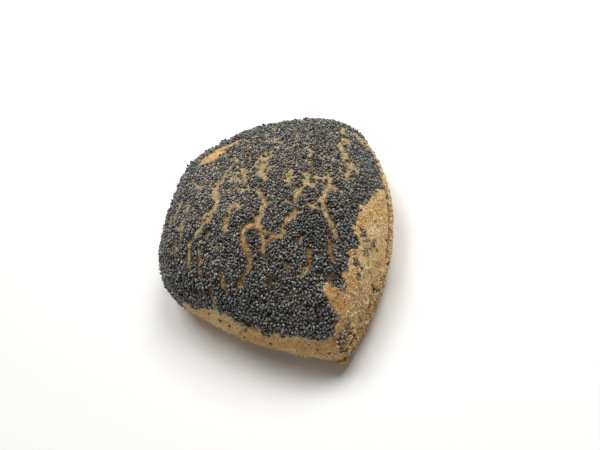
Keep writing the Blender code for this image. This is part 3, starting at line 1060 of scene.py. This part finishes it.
class ROLL_OT_make_crumbs(bpy.types.Operator):
    """Sticks crumbs along the torn tip, the right side and the front foot of the crust"""

    bl_idname = "roll.make_crumbs"
    bl_label = "Make Crumbs"

    def execute(self, context):
        scene = context.scene
        sizes = scene.roll_sizes
        draws = np.random.default_rng(RNG_SEED + 1)
        places, normals = surface_samples(bpy.data.objects["crust"].data, CRUMB_TRIALS, draws)
        points = to_mm(places)
        heading, height = bearing(points), points[:, 2]
        front = (height > 5) & (height < 12) & (heading > -140) & (heading < -56)
        side = (height > 4) & (height < 15) & (heading > -56) & (heading < -12)
        upper = (height > 14) & (height < 27) & (heading > -50) & (heading < 30) & (points[:, 0] > 31)
        tip = np.linalg.norm(points - np.array(TORN_TIP), axis=1) < 5
        allowed = draws.random(len(points)) < 0.5 * front + 0.7 * side + 0.04 * upper + 0.5 * tip
        kept = spaced(places, allowed, np.full(len(places), 1.3 * MM))[: sizes.crumb_count]
        places, normals, count = places[kept], normals[kept], len(kept)
        shapes = [crumb_shape(draws) for _ in range(4)]
        scales = sizes.crumb_size * draws.uniform(0.5, 1.3, count)
        turns = lying_turns(normals, draws, np.full(count, 0.6))
        places += normals * (0.12 * scales)[:, None]
        chosen = draws.integers(0, 4, count)
        crumbs = scattered_mesh("crumbs", shapes, chosen, places, turns, scales, np.ones(count))
        finish_piece(crumbs, "crumbs", crumb_material(scene.roll_colours))
        for shape in shapes:
            shape.free()
        return {"FINISHED"}


class ROLL_OT_make_flap(bpy.types.Operator):
    """Hangs the torn scrap of dough under the tip"""

    bl_idname = "roll.make_flap"
    bl_label = "Make Torn Flap"

    def execute(self, context):
        flap = bmesh.new()
        bmesh.ops.create_cube(flap, size=1.0)
        bmesh.ops.scale(flap, verts=flap.verts, vec=Vector(FLAP_SIZE) * MM)
        lower = [v for v in flap.verts if v.co.z < 0]
        bmesh.ops.scale(flap, verts=lower, vec=Vector((1.1, 0.7, 1.0)))
        bmesh.ops.subdivide_edges(flap, edges=flap.edges, cuts=7, use_grid_fill=True)
        for _ in range(2):
            bmesh.ops.smooth_vert(
                flap, verts=flap.verts, factor=0.5, use_axis_x=True, use_axis_y=True, use_axis_z=True
            )
        flap.normal_update()
        ragged = {
            vert: 0.45 * noise.noise(vert.co / (1.3 * MM)) + 0.3 * noise.noise(vert.co / (0.6 * MM))
            for vert in flap.verts
        }
        for vert, step in ragged.items():
            vert.co += vert.normal * step * MM
        for degrees, axis in ((14, "X"), (24, "Z")):
            turn = Matrix.Rotation(math.radians(degrees), 3, axis)
            bmesh.ops.rotate(flap, verts=flap.verts, matrix=turn)
        bmesh.ops.translate(flap, verts=flap.verts, vec=BASE_MIDDLE + Vector(FLAP_MIDDLE) * MM)
        bmesh.ops.recalc_face_normals(flap, faces=flap.faces)
        mesh = mesh_of(flap, "torn_flap")
        looks = {"brown": 0.60, "flour_and_highlight": 0.20, "painted_seed_shade": 0, "dusty": 0, "grey": 0, "fibrous": 0.5}
        for name, value in looks.items():
            add_measure(mesh, name, np.full(len(mesh.vertices), value))
        finish_piece(mesh, "torn_flap", bpy.data.materials["baked bread crust"])
        return {"FINISHED"}


class ROLL_OT_make_stage(bpy.types.Operator):
    """Lays the white table top, the soft lights and the camera"""

    bl_idname = "roll.make_stage"
    bl_label = "Make Stage"

    def execute(self, context):
        scene = context.scene
        top = bmesh.new()
        bmesh.ops.create_grid(top, x_segments=1, y_segments=1, size=1.5)
        mesh = mesh_of(top, "floor")
        mesh.materials.append(table_material(scene.roll_colours))
        placed("floor", mesh)

        middle = BASE_MIDDLE + Vector(VIEW_MIDDLE) * MM
        for name, direction, width, power in SOFT_LIGHTS:
            add_soft_light(name, middle, Vector(direction).normalized(), width, power)
        world = bpy.data.worlds.new("studio")
        world.use_nodes = True
        glow = world.node_tree.nodes["Background"].inputs
        glow["Color"].default_value = (1.0, 0.99, 0.97, 1.0)
        glow["Strength"].default_value = 0.04
        scene.world = world
        scene.view_settings.view_transform = "Standard"
        scene.view_settings.look = "None"
        scene.camera = add_camera(middle)
        return {"FINISHED"}


def add_soft_light(name, target, direction, width, power):
    """A square area light that faces the target from a direction."""
    lamp = bpy.data.lights.new(name, "AREA")
    lamp.shape = "SQUARE"
    lamp.size = width
    lamp.energy = power
    holder = placed(name, lamp)
    holder.location = target + direction * LIGHT_DISTANCE
    holder.rotation_euler = direction.to_track_quat("Z", "Y").to_euler()


def add_camera(target):
    """Looks down on the front right of the roll, leaning so that the roll's back edge is at the top."""
    around, up, lean = math.radians(36.0), math.radians(58.0), math.radians(31.9)
    outwards = Vector((math.sin(around) * math.cos(up), -math.cos(around) * math.cos(up), math.sin(up)))
    level = Vector((math.cos(around), math.sin(around), 0))
    right = level * math.cos(lean) - outwards.cross(level) * math.sin(lean)
    above = outwards.cross(right)
    place = target + outwards * CAMERA_DISTANCE * MM
    # the camera is aimed a little off the roll's middle, which sets the roll left of the view's middle
    aim = target + (right * 6.8 + above * 0.84) * MM
    back = (place - aim).normalized()
    right = above.cross(back).normalized()
    lens = bpy.data.cameras.new("camera")
    lens.lens = 49.5
    lens.sensor_width = 36.0
    lens.clip_start = 0.01
    camera = placed("camera", lens)
    turn = Matrix((right, back.cross(right), back)).transposed()
    camera.matrix_world = Matrix.Translation(place) @ turn.to_4x4()
    return camera


class ROLL_PT_panel(bpy.types.Panel):
    """Lists the roll's pieces, sizes and colours"""

    bl_idname = "ROLL_PT_panel"
    bl_label = "Poppy Seed Roll"
    bl_space_type = "VIEW_3D"
    bl_region_type = "UI"
    bl_category = "Bread"

    def draw(self, context):
        layout = self.layout
        for maker in MAKERS:
            layout.operator(maker.bl_idname)
        for group in (context.scene.roll_sizes, context.scene.roll_colours):
            box = layout.box()
            for key in group.__annotations__:
                box.prop(group, key)


MAKERS = (ROLL_OT_make_crust, ROLL_OT_make_flap, ROLL_OT_make_seeds, ROLL_OT_make_crumbs, ROLL_OT_make_stage)
CLASSES = (RollSizes, RollColours, *MAKERS, ROLL_PT_panel)


def register():
    for each in CLASSES:
        bpy.utils.register_class(each)
    bpy.types.Scene.roll_sizes = PointerProperty(type=RollSizes)
    bpy.types.Scene.roll_colours = PointerProperty(type=RollColours)


def unregister():
    del bpy.types.Scene.roll_colours
    del bpy.types.Scene.roll_sizes
    for each in reversed(CLASSES):
        bpy.utils.unregister_class(each)


def main():
    register()
    bpy.ops.roll.make_crust()
    bpy.ops.roll.make_flap()
    bpy.ops.roll.make_seeds()
    bpy.ops.roll.make_crumbs()
    bpy.ops.roll.make_stage()


if __name__ == "__main__":
    main()
